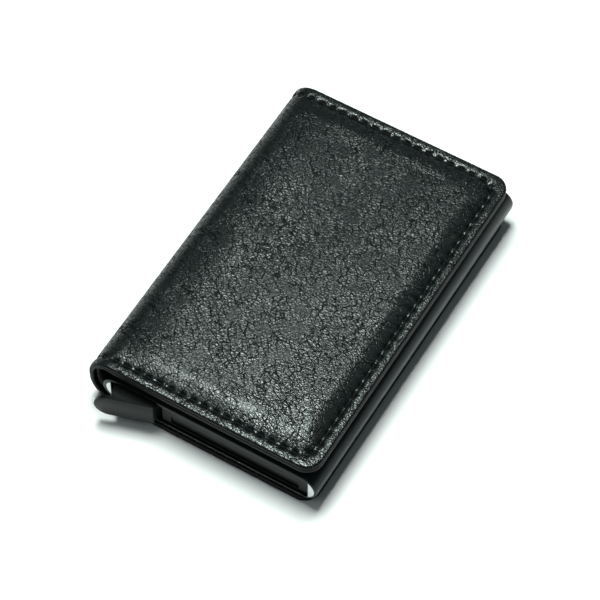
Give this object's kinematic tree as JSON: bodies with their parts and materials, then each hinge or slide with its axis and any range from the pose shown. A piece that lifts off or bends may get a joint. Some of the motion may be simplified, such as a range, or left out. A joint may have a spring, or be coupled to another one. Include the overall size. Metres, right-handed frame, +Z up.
{
  "type": "card wallet",
  "caption": "Bi-fold card wallet: padded leather cover folded round a flat card case whose side lever pushes the cards out of the far end.",
  "frame": {"origin": "on the underside of the back panel, under the middle of the cover", "axes": "+X from the spine to the open edge, +Y from the lever end to the mouth where the cards come out, +Z up through the thickness of the closed wallet"},
  "size_m": [0.0654, 0.1059, 0.018],
  "materials": {
    "flap_leather": "black pebbled leather, semi-gloss",
    "spine_leather": "black pebbled leather, semi-gloss",
    "back_leather": "black pebbled leather, semi-gloss",
    "flap_lining": "smooth black lining leather",
    "spine_lining": "smooth black lining leather",
    "back_lining": "smooth black lining leather",
    "flap_padding": "thin grey foam",
    "flap_board": "grey-brown fibre board",
    "card_slot_inner": "smooth black slot leather",
    "card_slot_outer": "smooth black slot leather",
    "case_shell": "satin black anodised aluminium with bare cut ends",
    "end_cap": "satin black moulded plastic",
    "lever": "satin black moulded plastic",
    "pivot_pin": "ground steel",
    "return_spring": "spring steel wire",
    "upper_felt": "black felt",
    "lower_felt": "black felt",
    "case_adhesive_pad": "black adhesive foam"
  },
  "bodies": {
    "root": {"back_leather": "back_leather", "back_lining": "back_lining", "case_adhesive_pad": "case_adhesive_pad", "case_shell": "case_shell", "end_cap": "end_cap", "pivot_pin": "pivot_pin", "return_spring": "return_spring", "upper_felt": "upper_felt", "lower_felt": "lower_felt"},
    "spine": {"spine_leather": "spine_leather", "spine_lining": "spine_lining"},
    "flap": {"flap_leather": "flap_leather", "flap_lining": "flap_lining", "flap_board": "flap_board", "flap_padding": "flap_padding", "card_slot_inner": "card_slot_inner", "card_slot_outer": "card_slot_outer"},
    "lever": {"lever": "lever"}
  },
  "joints": [
    {"name": "spine_fold", "type": "hinge", "parent": "root", "child": "spine", "pos_m": [-0.02996, 0, 0.00234], "axis": [0, -1, 0], "range_deg": [0, 90]},
    {"name": "flap_fold", "type": "hinge", "parent": "spine", "child": "flap", "pos_m": [-0.0304, 0, 0.0148], "axis": [0, -1, 0], "range_deg": [0, 83]},
    {"name": "lever_press", "type": "hinge", "parent": "root", "child": "lever", "pos_m": [-0.0102, -0.0458, 0.00745], "axis": [0, 0, -1], "range_deg": [0, 14], "stiffness_Nm_per_rad": 0.02, "springref_deg": -17.19, "deforming": ["return_spring"]}
  ]
}
